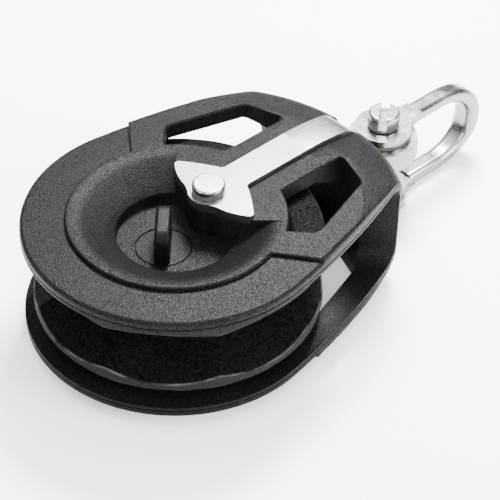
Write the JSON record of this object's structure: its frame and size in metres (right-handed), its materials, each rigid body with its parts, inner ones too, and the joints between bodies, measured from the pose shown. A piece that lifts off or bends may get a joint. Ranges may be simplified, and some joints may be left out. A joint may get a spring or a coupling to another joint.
{
  "type": "ratchet sheave block",
  "caption": "Rope pulley block: faceted ratchet sheave between two moulded cheeks, metal head strap, selector knob, and a swivelling D-shackle with a slotted pin.",
  "frame": {"origin": "on the sheave's axis, in the parting plane of the two cheeks", "axes": "+X along the block's length to the shackle's bow, +Z along the sheave's axis out of the cheek with the selector knob, +Y across"},
  "size_m": [0.1225, 0.063, 0.0329],
  "materials": {
    "cheek_moulding": "fine moulded grain, glass-filled nylon",
    "sheave_moulding": "dull, rough gripping faces",
    "strap_steel": "satin stainless steel",
    "bright_steel": "polished stainless steel",
    "inner_steel": "machined stainless steel",
    "hub_alloy": "machined alloy",
    "ball_acetal": "smooth acetal",
    "cage_acetal": "moulded acetal",
    "bush_bronze": "plain bearing bronze"
  },
  "bodies": {
    "frame": {"upper_cheek": "cheek_moulding", "lower_cheek": "cheek_moulding", "head_strap": "strap_steel", "through_rivet": "bright_steel", "upper_hub": "hub_alloy", "lower_hub": "hub_alloy", "pawl_carrier": "hub_alloy", "pawl_pins": "inner_steel", "detent_ball": "inner_steel", "detent_spring": "inner_steel", "swivel_bush": "bush_bronze", "swivel_thrust_ring": "cage_acetal", "swivel_washer": "inner_steel"},
    "wheel": {"sheave": "sheave_moulding", "upper_outer_race": "inner_steel", "lower_outer_race": "inner_steel", "ratchet_ring": "inner_steel"},
    "upper_row": {"upper_balls": "ball_acetal", "upper_ball_cage": "cage_acetal"},
    "lower_row": {"lower_balls": "ball_acetal", "lower_ball_cage": "cage_acetal"},
    "selector": {"selector_knob": "cheek_moulding", "selector_cam": "inner_steel"},
    "pawl_a": {"pawl_a": "inner_steel", "pawl_spring_a": "inner_steel"},
    "pawl_b": {"pawl_b": "inner_steel", "pawl_spring_b": "inner_steel"},
    "eye": {"swivel_eye": "bright_steel", "swivel_nut": "inner_steel"},
    "pin": {"shackle_pin": "bright_steel"},
    "bow": {"shackle": "bright_steel"}
  },
  "joints": [
    {"name": "sheave_spin", "type": "hinge", "parent": "frame", "child": "wheel", "pos_m": [0, 0, 0.001], "axis": [0, 0, 1], "continuous": true},
    {"name": "upper_row_roll", "type": "hinge", "parent": "frame", "child": "upper_row", "pos_m": [0, 0, 0.0046], "axis": [0, 0, 1], "continuous": true},
    {"name": "lower_row_roll", "type": "hinge", "parent": "frame", "child": "lower_row", "pos_m": [0, 0, -0.0026], "axis": [0, 0, 1], "continuous": true},
    {"name": "selector_turn", "type": "hinge", "parent": "frame", "child": "selector", "pos_m": [-0.004, 0, 0.0066], "axis": [0, 0, 1], "range_deg": [0, 60]},
    {"name": "pawl_a_swing", "type": "hinge", "parent": "frame", "child": "pawl_a", "pos_m": [-0.0072, 0.00858, 0], "axis": [0, 0, 1], "range_deg": [-11, 0]},
    {"name": "pawl_b_swing", "type": "hinge", "parent": "frame", "child": "pawl_b", "pos_m": [0.0072, -0.00858, 0], "axis": [0, 0, 1], "range_deg": [-11, 0]},
    {"name": "swivel_spin", "type": "hinge", "parent": "frame", "child": "eye", "pos_m": [0.05, 0, 0], "axis": [1, 0, 0], "continuous": true},
    {"name": "shackle_slide", "type": "slide", "parent": "eye", "child": "pin", "axis": [0, 0, 1], "range_m": [0, 0.0106]},
    {"name": "shackle_swing", "type": "hinge", "parent": "pin", "child": "bow", "pos_m": [0.06, 0, -0.0053], "axis": [0, 0, 1], "range_deg": [-115, 115]}
  ],
  "couplings": [
    {"joint": "upper_row_roll", "follows": "sheave_spin", "ratio": 0.5393},
    {"joint": "lower_row_roll", "follows": "sheave_spin", "ratio": 0.5393},
    {"joint": "pawl_a_swing", "follows": "selector_turn", "ratio": -0.18},
    {"joint": "pawl_b_swing", "follows": "selector_turn", "ratio": -0.18}
  ]
}
